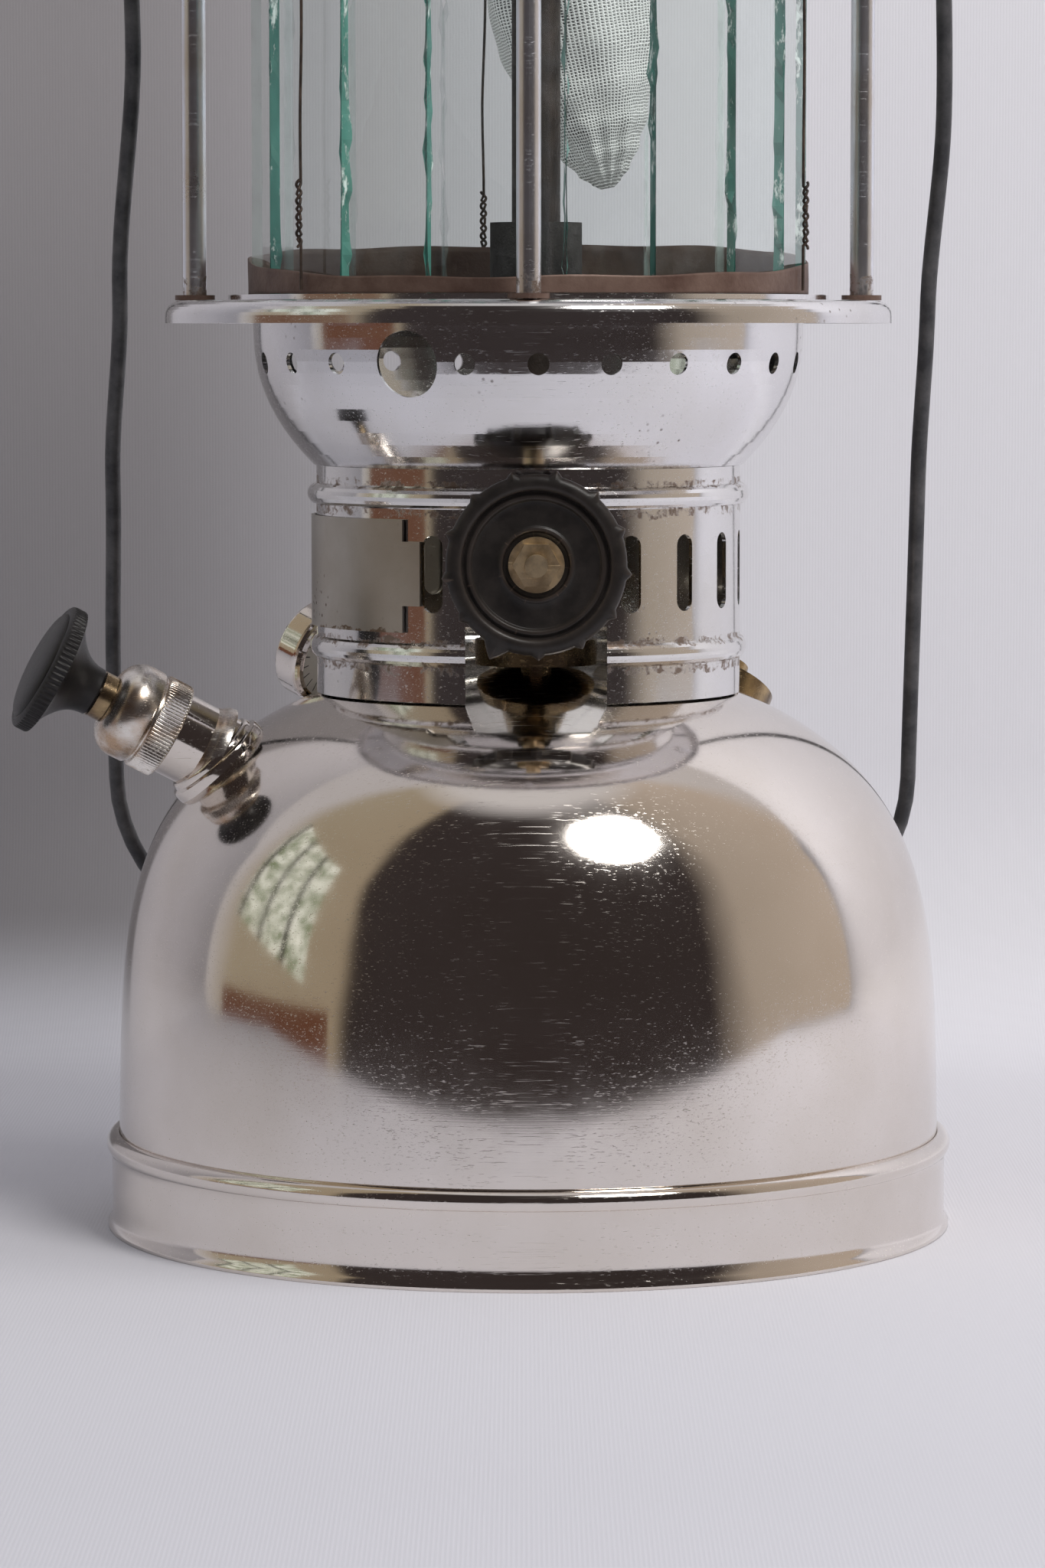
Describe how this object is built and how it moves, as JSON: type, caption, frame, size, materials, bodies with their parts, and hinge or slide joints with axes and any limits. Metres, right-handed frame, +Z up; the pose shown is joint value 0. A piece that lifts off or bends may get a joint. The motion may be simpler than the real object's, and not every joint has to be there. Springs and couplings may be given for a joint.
{
  "type": "kerosene pressure lantern",
  "caption": "Pressure lantern with a domed fuel tank, hand pump, slotted collar, caged globe of glass strips, mantle burner, round hood and wire bail.",
  "frame": {"origin": "middle of the foot ring, on the floor", "axes": "+Z up the lantern's axis; -Y towards the control wheel; the pump stands out to -X"},
  "size_m": [0.1894, 0.174, 0.4094],
  "materials": {
    "nickel_plate": "polished, fine circular scratches",
    "chrome_plate": "polished sheet with light pitting",
    "worn_nickel": "worn plating with brass showing",
    "plain_steel": "satin",
    "brass": "aged satin",
    "sooty_brass": "soot covered",
    "sooty_steel": "soot black, matt",
    "rusty_steel": "rust brown, matt",
    "bare_sheet": "matt unplated sheet",
    "black_plastic": "moulded, worn brown at its edges",
    "black_metal": "matt black",
    "black_wire": "dark grey wire",
    "dark_wire": "dark oxidised wire",
    "dial_white": "matt white with plain ticks",
    "clear_glass": "clear flat strips with green edges",
    "gauge_glass": "clear",
    "leather": "oiled",
    "mantle_net": "knitted white net",
    "ceramic": "unglazed"
  },
  "bodies": {
    "frame": {"foot_ring": "nickel_plate", "tank_shell": "nickel_plate", "tank_bottom": "plain_steel", "pump_flange": "nickel_plate", "pump_barrel": "nickel_plate", "check_valve": "brass", "pump_cap": "worn_nickel", "cap_bush": "brass", "cap_spring": "plain_steel", "gauge_stem": "brass", "gauge_case": "nickel_plate", "gauge_dial": "dial_white", "gauge_glass": "gauge_glass", "filler_neck": "brass", "riser_tube": "brass", "valve_body": "brass", "gland_nut": "brass", "vaporizer_tube": "sooty_brass", "jet": "brass", "preheat_cup": "sooty_steel", "collar": "chrome_plate", "gallery": "chrome_plate", "globe_seat": "chrome_plate", "cage_rods": "chrome_plate", "rod_washers": "rusty_steel", "rod_nuts": "chrome_plate", "top_ring": "chrome_plate", "lower_globe_band": "rusty_steel", "upper_globe_band": "chrome_plate", "glass_strips": "clear_glass", "tie_wires": "dark_wire", "mantle": "mantle_net", "ceramic_nozzle": "ceramic", "gas_chamber": "sooty_brass", "mixing_tube": "sooty_brass", "inner_casing": "chrome_plate", "stud_bridge": "plain_steel", "pivot_studs": "plain_steel"},
    "control": {"control_spindle": "plain_steel", "control_wheel": "black_plastic", "wheel_nut": "brass"},
    "pricker": {"pricker_rod": "plain_steel"},
    "pump": {"pump_rod": "plain_steel", "pump_knob": "black_plastic", "leather_cup": "leather"},
    "filler_cap": {"filler_cap": "brass"},
    "air_screw": {"air_screw": "brass"},
    "gauge_needle": {"gauge_needle": "black_metal"},
    "cover_band": {"cover_band": "bare_sheet"},
    "hood": {"hood": "chrome_plate"},
    "hood_nut": {"hood_nut": "brass"},
    "bail": {"bail": "black_wire"}
  },
  "joints": [
    {"name": "control_turn", "type": "hinge", "parent": "frame", "child": "control", "pos_m": [0.0015, -0.05, 0.13501], "axis": [0, -1, 0], "range_deg": [0, 180]},
    {"name": "pricker_rise", "type": "slide", "parent": "frame", "child": "pricker", "axis": [0, 0, 1], "range_m": [0, 0.0022]},
    {"name": "pump_stroke", "type": "slide", "parent": "frame", "child": "pump", "axis": [-0.8603, -0.1986, 0.4695], "range_m": [0, 0.042]},
    {"name": "filler_cap_turn", "type": "hinge", "parent": "frame", "child": "filler_cap", "pos_m": [0.03821, 0.03956, 0.10087], "axis": [0.3695, 0.3826, 0.8468], "range_deg": [0, 720]},
    {"name": "air_screw_turn", "type": "hinge", "parent": "filler_cap", "child": "air_screw", "pos_m": [0.03821, 0.03956, 0.10087], "axis": [0.3695, 0.3826, 0.8468], "range_deg": [0, 540]},
    {"name": "gauge_needle_turn", "type": "hinge", "parent": "frame", "child": "gauge_needle", "pos_m": [-0.0429, 0.036, 0.11323], "axis": [0.7198, -0.604, -0.342], "range_deg": [0, 270], "stiffness_Nm_per_rad": 0.0001},
    {"name": "cover_band_turn", "type": "hinge", "parent": "frame", "child": "cover_band", "pos_m": [0, 0, 0.12951], "axis": [0, 0, 1], "range_deg": [-36, 8]},
    {"name": "hood_lift", "type": "slide", "parent": "frame", "child": "hood", "axis": [0, 0, 1], "range_m": [0, 0.09]},
    {"name": "hood_nut_turn", "type": "hinge", "parent": "hood", "child": "hood_nut", "pos_m": [0, 0, 0.40131], "axis": [0, 0, 1], "range_deg": [0, 720]},
    {"name": "bail_swing", "type": "hinge", "parent": "frame", "child": "bail", "pos_m": [0, 0, 0.33032], "axis": [1, 0, 0], "range_deg": [0, 326]}
  ],
  "couplings": [
    {"joint": "pricker_rise", "follows": "control_turn", "m_per_rad": 0.0007}
  ]
}
